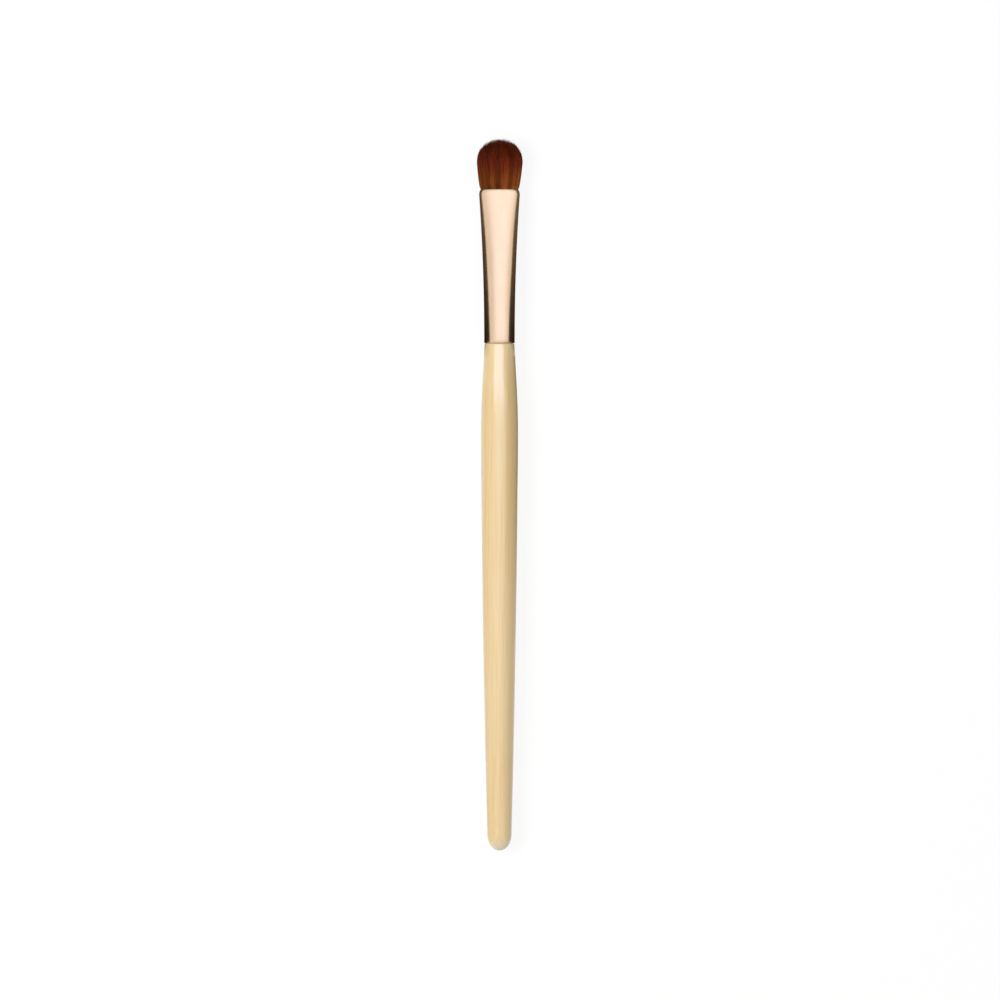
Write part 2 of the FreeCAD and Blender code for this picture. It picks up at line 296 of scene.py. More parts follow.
@dataclass(frozen=True)
class LacqueredWood:
    """Pale straight-grained wood under satin clear lacquer."""

    pale: Colour = (0.89, 0.675, 0.375)
    middle: Colour = (0.85, 0.61, 0.29)
    deep: Colour = (0.76, 0.51, 0.215)
    # The wood turns paler over the rounded butt.
    butt_pale: Colour = (0.93, 0.82, 0.65)
    fibre_share: float = 0.45
    butt_pale_from: float = -0.0765
    butt_pale_to: float = -0.0803
    butt_paling: float = 0.55
    # The paling towards the neck is a painted highlight: it stands in for the whiter lacquer sheen near the
    # ferrule.
    neck_from: float = 0.023
    neck_to: float = 0.034
    neck_painted_highlight: float = 0.14

    def material(self) -> bpy.types.Material:
        """Builds the wood's material, paler over the rounded butt and paler at the neck, where the paling is
        a painted highlight.

        Returns:
            The material.
        """
        bench = FinishBench("lacquered_pale_wood")
        bands = bench.effect(Effect.STREAKS, Across=420.0, Along=9.0, Detail=2.0)
        fibres = bench.effect(Effect.STREAKS, Across=3600.0, Along=55.0, Detail=3.0)
        grain = bench.blend(bands, fibres, self.fibre_share)
        butt = bench.along_brush(self.butt_pale_from, self.butt_pale_to, 0.0, self.butt_paling)
        neck = bench.along_brush(self.neck_from, self.neck_to, 0.0, self.neck_painted_highlight)
        colour = bench.ramp(
            bench.added(bench.added(grain, butt), neck),
            [(0.3, self.deep), (0.5, self.middle), (0.68, self.pale), (1.0, self.butt_pale)],
        )
        bench.feed(
            bench.shader,
            Base_Color=colour,
            Roughness=bench.spread(fibres, low=0.5, high=0.38),
            Specular_IOR_Level=0.2,
            Coat_Weight=1.0,
            Coat_Roughness=0.12,
            Coat_IOR=1.55,
        )
        bench.relief(fibres, depth=0.00002, strength=0.25)
        return bench.material


@dataclass(frozen=True)
class RoseGold:
    """Satin rose-gold plating with the fine drawn lines of the tube."""

    light: Colour = (0.83, 0.603, 0.465)
    dark: Colour = (0.77, 0.548, 0.41)

    def material(self) -> bpy.types.Material:
        """Builds the metal's material.

        Returns:
            The material.
        """
        bench = FinishBench("satin_rose_gold")
        lines = bench.effect(Effect.STREAKS, Across=5200.0, Along=40.0, Detail=2.0)
        cloud = bench.effect(Effect.MOTTLE, Across=240.0, Detail=2.0)
        tone = bench.blend(lines, cloud, share=0.5)
        bench.feed(
            bench.shader,
            Base_Color=bench.ramp(tone, [(0.32, self.dark), (0.66, self.light)]),
            Metallic=1.0,
            Roughness=bench.spread(lines, low=0.2, high=0.27),
        )
        bench.relief(lines, depth=0.000004, strength=0.15)
        return bench.material


@dataclass(frozen=True)
class BrownHair:
    """Reddish brown hair, lighter at the root, each lock in a tone of its own.

    The darkest and the lightest tone multiply the colour, first at the root and then at the tip.
    """

    root: Colour = (0.33, 0.135, 0.046)
    middle: Colour = (0.289, 0.076, 0.0125)
    tip: Colour = (0.285, 0.045, 0.012)
    darkest: tuple[float, float] = (0.2, 0.6)
    lightest: tuple[float, float] = (1.84, 1.4)

    def material(self) -> bpy.types.Material:
        """Builds the hair's material, which reads the tone and the place along a hair from its UV map.

        Returns:
            The material.
        """
        bench = FinishBench("reddish_brown_hair")
        strand = bench.tree.nodes.new("ShaderNodeUVMap")
        strand.uv_map = HAIR_MAP
        parts = bench.node("ShaderNodeSeparateXYZ", Vector=strand.outputs["UV"])
        tone, along = parts.outputs["X"], parts.outputs["Y"]
        colour = bench.ramp(
            along, [(0.2, self.root), (0.32, self.middle), (0.54, self.middle), (0.7, self.tip)]
        )
        darkest = bench.spread(along, *self.darkest)
        lightest = bench.spread(along, *self.lightest)
        shade = bench.node("ShaderNodeVectorMath")
        shade.operation = "SCALE"
        bench.tree.links.new(colour, shade.inputs[0])
        bench.feed(shade, Scale=bench.mapped(tone, (0.0, 1.0), darkest, lightest))
        bench.feed(
            bench.shader,
            Base_Color=shade.outputs["Vector"],
            Roughness=bench.spread(tone, low=0.5, high=0.42),
            Specular_IOR_Level=0.12,
        )
        return bench.material


@dataclass(frozen=True)
class HiddenFinish:
    """A plain finish of a piece inside the ferrule, with a mottle of its own."""

    name: str
    light: Colour
    dark: Colour
    roughness: float
    across: float
    drawn_out: bool = False
    stretch: float = 8.0
    polish: float = 0.8

    def material(self) -> bpy.types.Material:
        """Builds the material.

        Returns:
            The material.
        """
        bench = FinishBench(self.name)
        effect = Effect.STREAKS if self.drawn_out else Effect.MOTTLE
        grain = bench.effect(effect, Across=self.across, Along=self.across / self.stretch, Detail=3.0)
        bench.feed(
            bench.shader,
            Base_Color=bench.ramp(grain, [(0.35, self.dark), (0.65, self.light)]),
            Roughness=bench.spread(grain, self.roughness, self.roughness * self.polish),
        )
        bench.relief(grain, depth=0.00003, strength=0.3)
        return bench.material


class RingModeller:
    """Models a hollow or turned piece in edit mode, ring by ring along the brush."""

    def __init__(self, name: str, sides: int, station: float, radius: float) -> None:
        """Adds the first ring.

        Args:
            name: the piece's name.
            sides: corners of a ring.
            station: the ring's place along the brush.
            radius: the ring's radius.
        """
        bpy.ops.object.select_all(action="DESELECT")
        bpy.ops.mesh.primitive_circle_add(
            vertices=sides,
            radius=radius * MM,
            location=(0.0, station * MM, AXIS_HEIGHT * MM),
            rotation=(math.pi / 2, 0.0, 0.0),
        )
        self.piece = bpy.context.active_object
        self.piece.name = name
        self.piece.data.name = name
        bpy.ops.object.transform_apply(location=True, rotation=True, scale=True)
        bpy.ops.object.mode_set(mode="EDIT")
        bpy.ops.mesh.select_mode(type="VERT")
        bpy.ops.mesh.select_all(action="SELECT")
        self.station = station
        self.half_width = radius
        self.half_thickness = radius
        self.first = self.ring()

    def ring(self) -> list[int]:
        """Reads the selection.

        Returns:
            The numbers of the selected corners.
        """
        net = bmesh.from_edit_mesh(self.piece.data)
        net.verts.index_update()
        return [corner.index for corner in net.verts if corner.select]

    def select(self, corners: list[int]) -> None:
        """Selects these corners and nothing else.

        Args:
            corners: their numbers.
        """
        bpy.ops.mesh.select_all(action="DESELECT")
        net = bmesh.from_edit_mesh(self.piece.data)
        net.verts.ensure_lookup_table()
        for number in corners:
            net.verts[number].select = True
        net.select_flush_mode()
        bmesh.update_edit_mesh(self.piece.data)

    def extend(self, station: float, radius: float) -> None:
        """Extrudes the selected ring to a round one.

        Args:
            station: the new ring's place along the brush.
            radius: the new ring's radius.
        """
        self.extend_oval(station, 2 * radius, 2 * radius)

    def extend_oval(self, station: float, width: float, thickness: float) -> None:
        """Extrudes the selected ring to an oval one.

        Args:
            station: the new ring's place along the brush.
            width: the broad way of the new ring.
            thickness: its flat way.
        """
        step = (station - self.station) * MM
        bpy.ops.mesh.extrude_region_move(TRANSFORM_OT_translate={"value": (0.0, step, 0.0)})
        ratio = (width / 2 / self.half_width, 1.0, thickness / 2 / self.half_thickness)
        centre = (0.0, station * MM, AXIS_HEIGHT * MM)
        bpy.ops.transform.resize(value=ratio, center_override=centre)
        self.station = station
        self.half_width = width / 2
        self.half_thickness = thickness / 2

    def close_pole(self) -> None:
        """Closes the selected ring to a point at its middle."""
        bpy.ops.mesh.extrude_region_move()
        bpy.ops.mesh.merge(type="CENTER")

    def join_ends(self) -> None:
        """Bridges the selected last ring and the first one."""
        self.select(self.first + self.ring())
        bpy.ops.mesh.bridge_edge_loops()

    def finished(self, smooth_angle: float) -> bpy.types.Object:
        """Turns the faces outwards, shades them and leaves edit mode.

        Args:
            smooth_angle: edges that turn more than this, in degrees, stay sharp.

        Returns:
            The piece.
        """
        bpy.ops.mesh.select_all(action="SELECT")
        bpy.ops.mesh.normals_make_consistent(inside=False)
        bpy.ops.object.mode_set(mode="OBJECT")
        bpy.ops.object.shade_smooth_by_angle(angle=math.radians(smooth_angle))
        return self.piece


def mount(piece: bpy.types.Object, node: str, material: bpy.types.Material) -> None:
    """Dresses a new piece, rides it on the brush and lets it stand for its CAD node.

    Args:
        piece: the new piece.
        node: the CAD node.
        material: its material.
    """
    piece.data.materials.clear()
    piece.data.materials.append(material)
    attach(piece, BODY)
    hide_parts(node)
    LOG.info("%s: %d faces", piece.name, len(piece.data.polygons))


@dataclass
class Handle:
    """The turned handle. Distances run from the ferrule's round end down to the butt."""

    seam: float = SEAM
    length: float = 113.9
    neck_radius: float = 3.325
    shoulder_gap: float = 0.05
    edge_round: float = 0.3
    edge_drop: float = 0.5
    edge_support: float = 0.08
    cone_length: float = 9.3
    belly_radius: float = 4.16
    belly_distance: float = 20.5
    belly_run: float = 1.2
    tail_radius: float = 2.725
    butt_length: float = 3.7
    tenon_radius: float = 2.7
    tenon_length: float = 12.0
    tenon_chamfer: float = 0.6
    sides: int = 128
    dome_rings: int = 20
    barrel_rings: int = 26
    belly_rings: int = 14
    cone_rings: int = 7
    pole_turn: float = 4.0
    edge_turns: tuple[float, ...] = (20.0, 40.0, 60.0, 75.0, 90.0)
    smooth_angle: float = 40.0
    finish: LacqueredWood = field(default_factory=LacqueredWood)

    def radius(self, distance: float) -> float:
        """The handle's radius.

        Args:
            distance: how far from the ferrule.

        Returns:
            The radius there.
        """
        rise = self.belly_distance - self.cone_length
        swell = self.belly_radius - self.neck_radius
        curve = rise * (self.belly_distance + self.cone_length) / (2 * swell)
        if distance < self.cone_length:
            return self.neck_radius + distance * rise / curve
        crest_end = self.belly_distance + self.belly_run
        if distance < crest_end:
            return self.belly_radius - (distance - self.belly_distance) ** 2 / (2 * curve)
        tail = self.length - self.butt_length
        start = self.belly_radius - self.belly_run**2 / (2 * curve)
        run = tail - crest_end
        slope = self.belly_run / curve
        bow = (start - self.tail_radius - slope * run) / run**2
        if distance < tail:
            along = distance - crest_end
            return start - slope * along - bow * along**2
        along = (distance - tail) / self.butt_length
        return self.tail_radius * math.sqrt(max(0.0, 1 - along**2))

    def stations(self) -> list[float]:
        """Spaces the rings out, from the butt up to the neck.

        Returns:
            Their distances.
        """
        tail = self.length - self.butt_length
        crest_end = self.belly_distance + self.belly_run
        neck = self.shoulder_gap + self.edge_round
        turns = np.radians(np.linspace(self.pole_turn, 90, self.dome_rings))
        dome = [tail + self.butt_length * math.cos(turn) for turn in turns]
        barrel = np.linspace(tail, crest_end, self.barrel_rings)[1:]
        belly = np.linspace(crest_end, self.cone_length, self.belly_rings)[1:]
        cone = np.linspace(self.cone_length, neck + self.edge_support, self.cone_rings)[1:]
        return [*dome, *barrel, *belly, *cone, neck]

    def build(self) -> bpy.types.Object:
        """Models the handle from the butt to the end of the tenon.

        Returns:
            The handle.
        """
        lowest, *others = self.stations()
        modeller = RingModeller("handle_turned", self.sides, self.seam - lowest, self.radius(lowest))
        modeller.close_pole()
        modeller.select(modeller.first)
        for distance in others:
            modeller.extend(self.seam - distance, self.radius(distance))
        shoulder = self.seam - self.shoulder_gap
        for turn in np.radians(self.edge_turns):
            station = shoulder - self.edge_round * (1 - math.sin(turn))
            modeller.extend(station, self.neck_radius - self.edge_drop * (1 - math.cos(turn)))
        top = self.seam + self.tenon_length
        modeller.extend(shoulder, self.tenon_radius)
        modeller.extend(top - self.tenon_chamfer, self.tenon_radius)
        modeller.extend(top, self.tenon_radius - self.tenon_chamfer)
        modeller.close_pole()
        return modeller.finished(self.smooth_angle)

    def dress(self, piece: bpy.types.Object) -> None:
        """Gives the handle its wood."""
        mount(piece, "handle", self.finish.material())


@dataclass
class Ferrule:
    """The drawn tube. Distances run from its round end up to its flat mouth."""

    seam: float = SEAM
    length: float = 34.45
    diameter: float = 6.85
    wall: float = 0.39
    mouth_width: float = 9.12
    mouth_thickness: float = 3.8
    broadening: float = 2.05
    flattening: float = 2.45
    lip_foot: float = 33.3
    lip_round: float = 0.22
    corner_round: float = 0.28
    rim: float = 0.16
    rim_drop: float = 0.08
    edge_round: float = 0.06
    bore_start: float = 1.5
    bore_even: float = 2.5
    sides: int = 128
    edge_turns: tuple[float, ...] = (60.0, 30.0, 0.0)
    tube_rings: int = 46
    lip_rings: int = 9
    bore_rings: int = 24
    smooth_angle: float = 50.0
    finish: RoseGold = field(default_factory=RoseGold)

    def section(self, distance: float, inset: float, narrowing: float) -> tuple[float, float]:
        """The oval section.

        Args:
            distance: how far from the round end.
            inset: how far inside the outside of the tube.
            narrowing: how much further inside on the narrow sides.

        Returns:
            The section's width and thickness.
        """
        share = min(distance / self.lip_foot, 1.0)
        width = self.diameter + (self.mouth_width - self.diameter) * share**self.broadening
        thickness = self.diameter - (self.diameter - self.mouth_thickness) * share**self.flattening
        return width - 2 * (inset + narrowing), thickness - 2 * inset

    def outline(self) -> list[tuple[float, float, float]]:
        """Spaces the rings out: up the outside, over the lip and down the bore.

        Returns:
            The distance, inset and narrowing of each ring.
        """
        soft = [
            (self.edge_round * (1 - math.sin(turn)), self.edge_round * (1 - math.cos(turn)), 0.0)
            for turn in np.radians(self.edge_turns)
        ]
        upward = np.linspace(self.edge_round, self.lip_foot, self.tube_rings)[1:]
        tube = [(distance, 0.0, 0.0) for distance in upward]
        roll = [
            (
                self.lip_foot + (self.length - self.lip_foot) * math.sin(turn),
                self.lip_round * (1 - math.cos(turn)),
                self.corner_round * (1 - math.cos(turn)),
            )
            for turn in np.radians(np.linspace(0, 90, self.lip_rings)[1:])
        ]
        edge = self.lip_round + self.rim
        rim = [
            (self.length, edge - self.rim_drop, self.corner_round),
            (self.length - self.rim_drop, edge, self.corner_round),
        ]
        downward = np.linspace(self.lip_foot - self.bore_even, 0, self.bore_rings)
        depths = [self.lip_foot - self.bore_start, *downward]
        bore = [(distance, self.wall, 0.0) for distance in depths]
        return soft + tube + roll + rim + bore

    def build(self) -> bpy.types.Object:
        """Models the tube as one closed wall.

        Returns:
            The tube.
        """
        radius = self.diameter / 2 - self.edge_round
        modeller = RingModeller("ferrule_drawn", self.sides, self.seam, radius)
        for distance, inset, narrowing in self.outline():
            width, thickness = self.section(distance, inset, narrowing)
            modeller.extend_oval(self.seam + distance, width, thickness)
        modeller.join_ends()
        return modeller.finished(self.smooth_angle)

    def dress(self, piece: bpy.types.Object) -> None:
        """Gives the tube its metal."""
        mount(piece, "ferrule", self.finish.material())


@dataclass
class Hair:
    """One tapered hair of unit length, modelled once and copied for every hair of the tuft."""

    sides: int = 3
    thinning: tuple[float, ...] = (1.0, 1.0, 1.0, 1.0, 0.95, 0.82, 0.62, 0.4)
    point_share: float = 0.25

    def build(self) -> tuple[np.ndarray, np.ndarray, np.ndarray, list[tuple[int, ...]]]:
        """Models the hair.

        Returns:
            Each corner's place along the hair, its two offsets across, and the faces.
        """
        last = len(self.thinning)
        modeller = RingModeller("single_hair", self.sides, 0.0, self.thinning[0])
        for number, radius in enumerate(self.thinning[1:], start=1):
            modeller.extend(number / last, radius)
        modeller.extend(1.0, self.thinning[-1] * self.point_share)
        bpy.ops.mesh.merge(type="CENTER")
        modeller.select(modeller.first)
        bpy.ops.mesh.edge_face_add()
        piece = modeller.finished(smooth_angle=180)
        places = np.array([corner.co for corner in piece.data.vertices]) / MM
        faces = [tuple(face.vertices) for face in piece.data.polygons]
        bpy.data.objects.remove(piece)
        return places[:, 1], places[:, 0], places[:, 2] - AXIS_HEIGHT, faces


@dataclass(frozen=True)
class HairLayer:
    """A share of the tuft's hairs, as one piece, between two shares of the way out from its middle."""

    name: str
    hairs: int
    innermost: float
    outermost: float
    seed: int


@dataclass
class Tuft:
    """The filbert tuft. Heights run from the mouth of the ferrule to the tip of the hair."""

    mouth: float = 68.35
    root_depth: float = 3.0
    length: float = 11.45
    belly_height: float = 6.5
    mouth_half: tuple[float, float] = (4.38, 1.56)
    belly_half: tuple[float, float] = (5.2, 2.48)
    bulge: float = 0.2
    mouth_pinch: tuple[float, float] = (0.46, 0.2)
    pinch_fade: float = 0.3
    converge: float = 0.45
    dome_limit: float = 0.999
    hair_radius: float = 0.055
    locks: int = 130
    lock_jitter: float = 0.12
    lock_pull: float = 0.3
    pull_power: float = 1.4
    lock_seed: int = 5
    tip_scatter: float = 0.32
    scatter_middle: float = 0.7
    scatter_outward: float = 0.3
    tip_drop: float = 0.15
    tip_room: float = 0.02
    tones: tuple[float, float] = (0.08, 0.92)
    tone_jitter: float = 0.06
    tone_limits: tuple[float, float] = (0.02, 0.98)
    tone_shift: float = 0.07
    shift_jitter: float = 0.02
    lean: float = 0.1
    wave: float = 0.05
    wave_turns: tuple[float, float] = (4.2, 3.4)
    stray_share: float = 0.04
    stray_reach: float = 0.18
    stray_range: tuple[float, float] = (0.3, 1.0)
    map_width: float = 0.012
    layers: tuple[HairLayer, ...] = (
        HairLayer("hair_inner_locks", hairs=3400, innermost=0.0, outermost=0.80, seed=11),
        HairLayer("hair_outer_locks", hairs=4000, innermost=0.72, outermost=1.0, seed=23),
    )
    finish: BrownHair = field(default_factory=BrownHair)

    def half_sizes(self, height: np.ndarray) -> tuple[np.ndarray, np.ndarray]:
        """Half of the tuft's width and thickness below its broadest height.

        Args:
            height: heights above the mouth.

        Returns:
            The two half sizes.
        """
        share = np.clip(height / self.belly_height, 0.0, 1.0)
        swell = (1 + self.bulge) * share - self.bulge * share**3
        fade = np.exp(-np.clip(height, 0.0, None) / self.pinch_fade)
        return tuple(
            mouth + (belly - mouth) * swell - pinch * fade
            for mouth, belly, pinch in zip(self.mouth_half, self.belly_half, self.mouth_pinch)
        )

    def lock_centres(self) -> tuple[np.ndarray, np.ndarray, np.ndarray]:
        """Spreads the locks over the unit disc by the golden angle, a little out of order.

        Returns:
            The place of each lock, its tone and how far along its hairs the dark tip is moved.
        """
        draw = np.random.default_rng(self.lock_seed)
        reach = np.sqrt((np.arange(self.locks) + 0.5) / self.locks)
        turn = np.arange(self.locks) * math.pi * (3 - math.sqrt(5))
        turn = turn + draw.normal(0, self.lock_jitter, self.locks)
        centres = np.stack([reach * np.cos(turn), reach * np.sin(turn)], axis=1)
        darkening = draw.uniform(-self.tone_shift, self.tone_shift, self.locks)
        return centres, draw.uniform(*self.tones, self.locks), darkening

    def paths(self, layer: HairLayer, steps: np.ndarray) -> tuple[np.ndarray, np.ndarray, np.ndarray]:
        """Lays out the hairs of a layer.

        Args:
            layer: the layer.
            steps: places along a hair, from 0 at its root to 1 at its tip.

        Returns:
            A point for every hair and step, in millimetres, the tone of each hair and how far along it the
            dark tip is moved.
        """
        draw = np.random.default_rng(layer.seed)
        count = layer.hairs
        reach = np.sqrt(draw.uniform(layer.innermost**2, layer.outermost**2, count))
        turn = draw.uniform(0, 2 * math.pi, count)
        place = np.stack([reach * np.cos(turn), reach * np.sin(turn)], axis=1)
        centres, tones, darkening = self.lock_centres()
        nearest = np.argmin(((place[:, None] - centres[None]) ** 2).sum(axis=2), axis=1)
        tone = np.clip(tones[nearest] + draw.normal(0, self.tone_jitter, count), *self.tone_limits)

        dome = (1 - self.converge) * reach / (1 - self.converge * reach)
        rise = self.length - self.belly_height
        tip = self.belly_height + rise * np.sqrt(np.clip(1 - dome**2, 0, 1))
        unevenness = self.scatter_middle + self.scatter_outward * reach
        tip += draw.normal(0, self.tip_scatter, count) * unevenness - self.tip_drop
        tip = np.minimum(tip, self.length - self.tip_room)

        height = -self.root_depth + steps[None] * (tip + self.root_depth)[:, None]
        free = np.clip(height / self.length, 0, 1)
        pull = self.lock_pull * free**self.pull_power
        spot = place[:, None] + (centres[nearest] - place)[:, None] * pull[..., None]
        over = np.clip((height - self.belly_height) / rise, 0, self.dome_limit)
        closing = (1 - self.converge) + self.converge * np.sqrt(1 - over**2)

        half_width, half_thickness = self.half_sizes(height)
        x = spot[..., 0] * half_width * closing
        z = spot[..., 1] * half_thickness * closing

        phase = draw.uniform(0, 2 * math.pi, (2, count))[..., None]
        x += self.wave * free * np.sin(phase[0] + self.wave_turns[0] * free)
        z += self.wave * free * np.sin(phase[1] + self.wave_turns[1] * free)
        strays = draw.uniform(0, 1, count) < self.stray_share
        stray = strays * self.stray_reach * draw.uniform(*self.stray_range, count)
        x += np.cos(turn)[:, None] * stray[:, None] * free**2
        z += np.sin(turn)[:, None] * stray[:, None] * free**2
        x += self.lean * free
        points = np.stack([x, self.mouth + height, AXIS_HEIGHT + z], axis=2)
        return points, tone, darkening[nearest] + draw.normal(0, self.shift_jitter, count)

    def build_layer(self, layer: HairLayer, hair: Hair) -> bpy.types.Object:
        """Copies the single hair along every path of a layer, into one piece.

        Args:
            layer: the layer.
            hair: the single hair.

        Returns:
            The piece.
        """
        along, side, up, faces = hair.build()
        steps, ring = np.unique(np.round(along, 4), return_inverse=True)
        points, tone, darkening = self.paths(layer, steps)
        corners = points[:, ring].copy()
        corners[..., 0] += side[None] * self.hair_radius
        corners[..., 2] += up[None] * self.hair_radius
        count, per_hair = corners.shape[:2]
        mesh = bpy.data.meshes.new(layer.name)
        all_faces = [
            tuple(corner + number * per_hair for corner in face) for number in range(count) for face in faces
        ]
        mesh.from_pydata((corners.reshape(-1, 3) * MM).tolist(), [], all_faces)
        piece = bpy.data.objects.new(layer.name, mesh)
        bpy.context.scene.collection.objects.link(piece)
        shade = np.clip(along[None] + darkening[:, None], 0, 1).ravel()
        self.map_hairs(mesh, shade, np.repeat(tone, per_hair), np.tile(side, count))
        bpy.ops.object.select_all(action="DESELECT")
        piece.select_set(True)
        bpy.context.view_layer.objects.active = piece
        bpy.ops.object.shade_smooth()
        return piece

    def map_hairs(
        self, mesh: bpy.types.Mesh, shade: np.ndarray, tone: np.ndarray, side: np.ndarray
    ) -> None:
        """Writes each hair's tone and each corner's place in the shading from root to tip into the UV map.

        Args:
            mesh: the layer's mesh.
            shade: each corner's place in the shading.
            tone: the tone of each corner's hair.
            side: each corner's offset across its hair, which gives the map a little width.
        """
        corner = np.empty(len(mesh.loops), dtype=np.int32)
        mesh.loops.foreach_get("vertex_index", corner)
        spots = np.stack([np.clip(tone + self.map_width * np.sign(side), 0, 1), shade], axis=1)
        layer = mesh.uv_layers.new(name=HAIR_MAP)
        layer.data.foreach_set("uv", spots[corner].astype(np.float32).ravel())

    def build(self) -> list[bpy.types.Object]:
        """Models every layer of the tuft."""
        hair = Hair()
        return [self.build_layer(layer, hair) for layer in self.layers]

    def dress(self, pieces: list[bpy.types.Object]) -> None:
        """Gives the layers their hair colour.

        Args:
            pieces: the layers.
        """
        material = self.finish.material()
        for piece in pieces:
            mount(piece, "hair_tuft", material)


@dataclass
class HiddenFillings:
    """The binding, the resin and the glue inside the ferrule, which keep their CAD shapes."""

    finishes: dict[str, HiddenFinish] = field(
        default_factory=lambda: {
            "tie_thread": HiddenFinish(
                "waxed_thread",
                light=(0.72, 0.64, 0.48),
                dark=(0.52, 0.44, 0.31),
                roughness=0.6,
                across=9000.0,
            ),
            "root_resin": HiddenFinish(
                "amber_resin",
                light=(0.50, 0.28, 0.07),
                dark=(0.36, 0.18, 0.04),
                roughness=0.18,
                across=900.0,
            ),
            "handle_glue": HiddenFinish(
                "dried_glue",
                light=(0.80, 0.68, 0.42),
                dark=(0.66, 0.53, 0.30),
                roughness=0.4,
                across=1500.0,
                drawn_out=True,
            ),
        }
    )

    def dress(self) -> None:
        """Gives each filling its finish."""
        for node, finish in self.finishes.items():
            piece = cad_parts[node]
            piece.data.materials.clear()
            piece.data.materials.append(finish.material())
            LOG.info("%s: dressed as %s", node, finish.name)


@dataclass(frozen=True)
class Softbox:
    """A soft lamp: a glowing rectangle that faces the line of the brush."""

    name: str
    lean: float
    distance: float
    along: float
    size: tuple[float, float]
    radiance: float
    in_gloss: bool = True
    tint: Colour = (1.0, 1.0, 1.0)

    def hang(self) -> bpy.types.Object:
        """Hangs the lamp, leaning to the right by its angle, in degrees.

        Returns:
            The lamp.
        """
        data = bpy.data.lights.new(self.name, "AREA")
        data.shape = "RECTANGLE"
        data.size, data.size_y = self.size
        data.color = self.tint
        data.energy = self.radiance * math.pi * self.size[0] * self.size[1]
        lamp = bpy.data.objects.new(self.name, data)
        turn = math.radians(self.lean)
        lamp.location = (self.distance * math.sin(turn), self.along, self.distance * math.cos(turn))
        lamp.rotation_euler = (0.0, turn, 0.0)
        lamp.visible_glossy = self.in_gloss
        bpy.context.scene.collection.objects.link(lamp)
        return lamp


@dataclass(frozen=True)
class Flag:
    """A card that shows only in reflections, with colours that paint them: dark painted reflections on the
    ferrule's sides and a warm painted shade on the lacquer's right side.

    Its inner edge lies on the floor under the brush, and its outer edge tips up by an angle, in degrees, at
    each of its rows along the brush.
    """

    name: str
    side: Side
    rows: tuple[float, float, float]
    rises: tuple[float, float, float]
    colours: tuple[Colour, Colour]
    fade: float
    reach: float = 0.02
    lift: float = 0.0001

    def lay(self) -> None:
        """Lays the card beside the brush, faded in from its first row."""
        bpy.ops.object.select_all(action="DESELECT")
        bpy.ops.mesh.primitive_grid_add(size=2.0, x_subdivisions=1, y_subdivisions=2)
        card = bpy.context.active_object
        card.name = self.name
        # The new grid's corners lie at -1, 0 and 1 along the brush, one for each row.
        for corner in card.data.vertices:
            row = round(corner.co.y) + 1
            reach = self.reach * (corner.co.x > 0)
            height = self.lift + reach * math.tan(math.radians(self.rises[row]))
            corner.co = (self.side.value * reach, self.rows[row], height)
        for rays in ("visible_camera", "visible_diffuse", "visible_shadow", "visible_transmission"):
            setattr(card, rays, False)
        bench = FinishBench(self.name)
        start, _, end = self.rows
        place = bench.along_brush(start, end, 0.0, 1.0)
        bench.feed(
            bench.shader,
            Base_Color=bench.ramp(place, list(enumerate(self.colours))),
            Roughness=1.0,
            Specular_IOR_Level=0.0,
            Alpha=bench.along_brush(start, start + self.fade, 0.0, 1.0),
        )
        card.data.materials.append(bench.material)


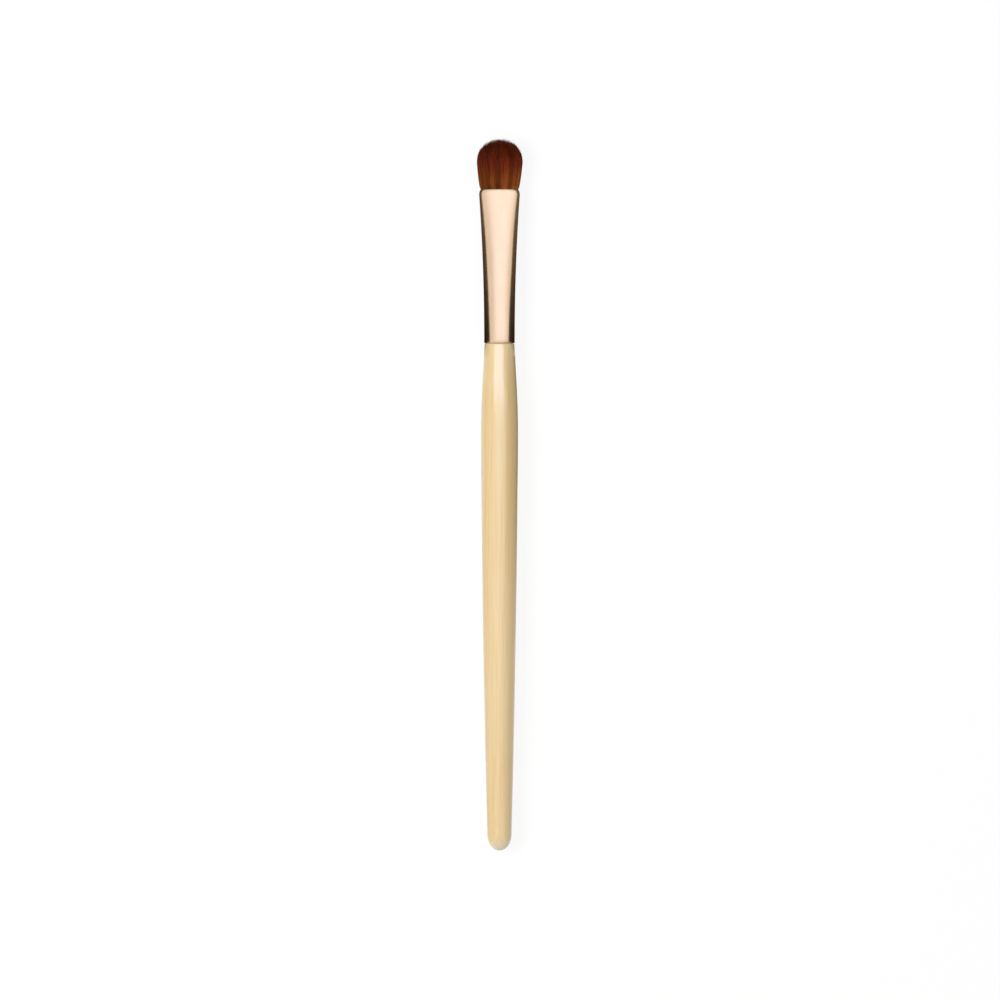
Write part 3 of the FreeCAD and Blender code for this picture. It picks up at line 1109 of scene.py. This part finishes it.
@dataclass
class Studio:
    """Floor, light and camera."""

    camera_place: tuple[float, float, float] = (0.00012, -0.00131, 1.25084)
    lens: float = 200.0
    floor_half: float = 4.0
    floor_drop: float = 0.0001
    floor_colour: Colour = (0.96, 0.96, 0.96)
    floor_roughness: float = 0.9
    ambient: float = 0.26
    surround_warm: Colour = (0.93, 0.95, 0.84)
    warm_from_zenith: tuple[float, float] = (60.0, 30.0)
    floor_glow: float = 0.82
    floor_white: float = 1.08
    flags: tuple[Flag, ...] = (
        Flag(
            "left_flag",
            Side.LEFT,
            rows=FERRULE_ROWS,
            rises=(29.8, 19.2, 31.5),
            colours=FERRULE_PAINTED_REFLECTIONS,
            fade=0.0025,
        ),
        Flag(
            "right_flag",
            Side.RIGHT,
            rows=FERRULE_ROWS,
            rises=(34.6, 21.6, 34.8),
            colours=FERRULE_PAINTED_REFLECTIONS,
            fade=0.0025,
        ),
        Flag(
            "handle_flag",
            Side.RIGHT,
            rows=(-0.035, 0.0, 0.0312),
            rises=(50.0, 50.0, 46.0),
            colours=LACQUER_PAINTED_SHADE,
            fade=0.035,
        ),
    )
    lamps: tuple[Softbox, ...] = (
        Softbox("key", lean=-33.0, distance=1.0, along=0.0, size=(0.4, 0.6), radiance=5.9, in_gloss=False),
        Softbox(
            "overhead_broad",
            lean=9.0,
            distance=0.94,
            along=0.28,
            size=(2.4, 0.6),
            radiance=0.16,
            tint=OVERHEAD_TINT,
        ),
        Softbox(
            "overhead_middle",
            lean=9.0,
            distance=0.92,
            along=0.28,
            size=(1.68, 0.59),
            radiance=0.16,
            tint=OVERHEAD_TINT,
        ),
        Softbox(
            "overhead_core",
            lean=7.0,
            distance=0.9,
            along=0.28,
            size=(0.95, 0.58),
            radiance=0.15,
            tint=OVERHEAD_TINT,
        ),
    )
    lacquer_lamps: tuple[Softbox, ...] = (
        Softbox(
            "lacquer_strip",
            lean=-4.0,
            distance=0.9,
            along=0.158,
            size=(1.22, 0.11),
            radiance=4.1,
            tint=(0.85, 0.88, 1.2),
        ),
        Softbox("lacquer_panel", lean=-1.0, distance=0.9, along=-0.1, size=(1.22, 0.4), radiance=0.75),
    )

    def build_camera(self) -> None:
        """Looks straight down on the brush, with its hair at the top of the picture."""
        data = bpy.data.cameras.new("camera")
        data.lens = self.lens
        camera = bpy.data.objects.new("camera", data)
        camera.location = self.camera_place
        bpy.context.scene.collection.objects.link(camera)
        bpy.context.scene.camera = camera

    @staticmethod
    def seen(tree: bpy.types.NodeTree) -> Socket:
        """Is 1 for rays that show the background: to the camera, in gloss or through glass.

        Args:
            tree: the node tree of a material or of the world.

        Returns:
            The value.
        """
        light = tree.nodes.new("ShaderNodeLightPath")
        value = light.outputs["Is Camera Ray"]
        for name in ("Is Glossy Ray", "Is Transmission Ray"):
            either = tree.nodes.new("ShaderNodeMath")
            either.operation = "MAXIMUM"
            tree.links.new(value, either.inputs[0])
            tree.links.new(light.outputs[name], either.inputs[1])
            value = either.outputs["Value"]
        return value

    def surround_colour(self, tree: bpy.types.NodeTree) -> Socket:
        """White overhead, and warmer beyond an angle from the zenith.

        Args:
            tree: the node tree of the world.

        Returns:
            The colour.
        """
        direction = tree.nodes.new("ShaderNodeTexCoord")
        split = tree.nodes.new("ShaderNodeSeparateXYZ")
        tree.links.new(direction.outputs["Generated"], split.inputs["Vector"])
        ramp = tree.nodes.new("ShaderNodeValToRGB")
        tree.links.new(split.outputs["Z"], ramp.inputs["Fac"])
        warm, white = ramp.color_ramp.elements
        warm.position, white.position = (math.cos(math.radians(angle)) for angle in self.warm_from_zenith)
        warm.color = opaque(self.surround_warm)
        return ramp.outputs["Color"]

    def build_world(self) -> None:
        """A pale surround that lights the object softly."""
        world = bpy.data.worlds.new("surround")
        world.use_nodes = True
        bpy.context.scene.world = world
        tree = world.node_tree
        strength = tree.nodes.new("ShaderNodeMapRange")
        tree.links.new(self.seen(tree), strength.inputs["Value"])
        strength.inputs["To Min"].default_value = self.ambient
        strength.inputs["To Max"].default_value = 1.0
        background = tree.nodes["Background"]
        tree.links.new(self.surround_colour(tree), background.inputs["Color"])
        tree.links.new(strength.outputs["Result"], background.inputs["Strength"])

    def build_floor(self) -> None:
        """A pale floor that takes a soft shadow."""
        bpy.ops.object.select_all(action="DESELECT")
        bpy.ops.mesh.primitive_plane_add(size=2 * self.floor_half, location=(0.0, 0.0, -self.floor_drop))
        floor = bpy.context.active_object
        floor.name = "floor"
        material = bpy.data.materials.new("pale_floor")
        material.use_nodes = True
        tree = material.node_tree
        matt = tree.nodes["Principled BSDF"]
        matt.inputs["Base Color"].default_value = opaque(self.floor_colour)
        matt.inputs["Roughness"].default_value = self.floor_roughness
        matt.inputs["Specular IOR Level"].default_value = 0.0
        glow = tree.nodes.new("ShaderNodeEmission")
        glow.inputs["Strength"].default_value = self.floor_white
        share = tree.nodes.new("ShaderNodeMath")
        share.operation = "MULTIPLY"
        share.inputs[1].default_value = self.floor_glow
        tree.links.new(self.seen(tree), share.inputs[0])
        mix = tree.nodes.new("ShaderNodeMixShader")
        tree.links.new(share.outputs["Value"], mix.inputs["Fac"])
        tree.links.new(matt.outputs["BSDF"], mix.inputs[1])
        tree.links.new(glow.outputs["Emission"], mix.inputs[2])
        tree.links.new(mix.outputs["Shader"], tree.nodes["Material Output"].inputs["Surface"])
        floor.data.materials.append(material)

    def build(self, lacquered: bpy.types.Object) -> None:
        """Sets up the whole studio.

        Args:
            lacquered: the piece that the lacquer lamps light.
        """
        bpy.context.scene.view_settings.view_transform = "Standard"
        self.build_camera()
        self.build_world()
        self.build_floor()
        for softbox in self.lamps:
            softbox.hang()
        receivers = bpy.data.collections.new("lacquered_pieces")
        receivers.objects.link(lacquered)
        for softbox in self.lacquer_lamps:
            softbox.hang().light_linking.receiver_collection = receivers
        for flag in self.flags:
            flag.lay()


def main() -> None:
    """Builds and dresses the brush, piece by piece, and then sets up the studio."""
    logging.basicConfig(level=logging.INFO, format="%(name)s: %(message)s")
    handle = Handle()
    turned = handle.build()
    handle.dress(turned)
    for part in (Ferrule(), Tuft()):
        part.dress(part.build())
    HiddenFillings().dress()
    Studio().build(turned)


if __name__ == "__main__":
    main()
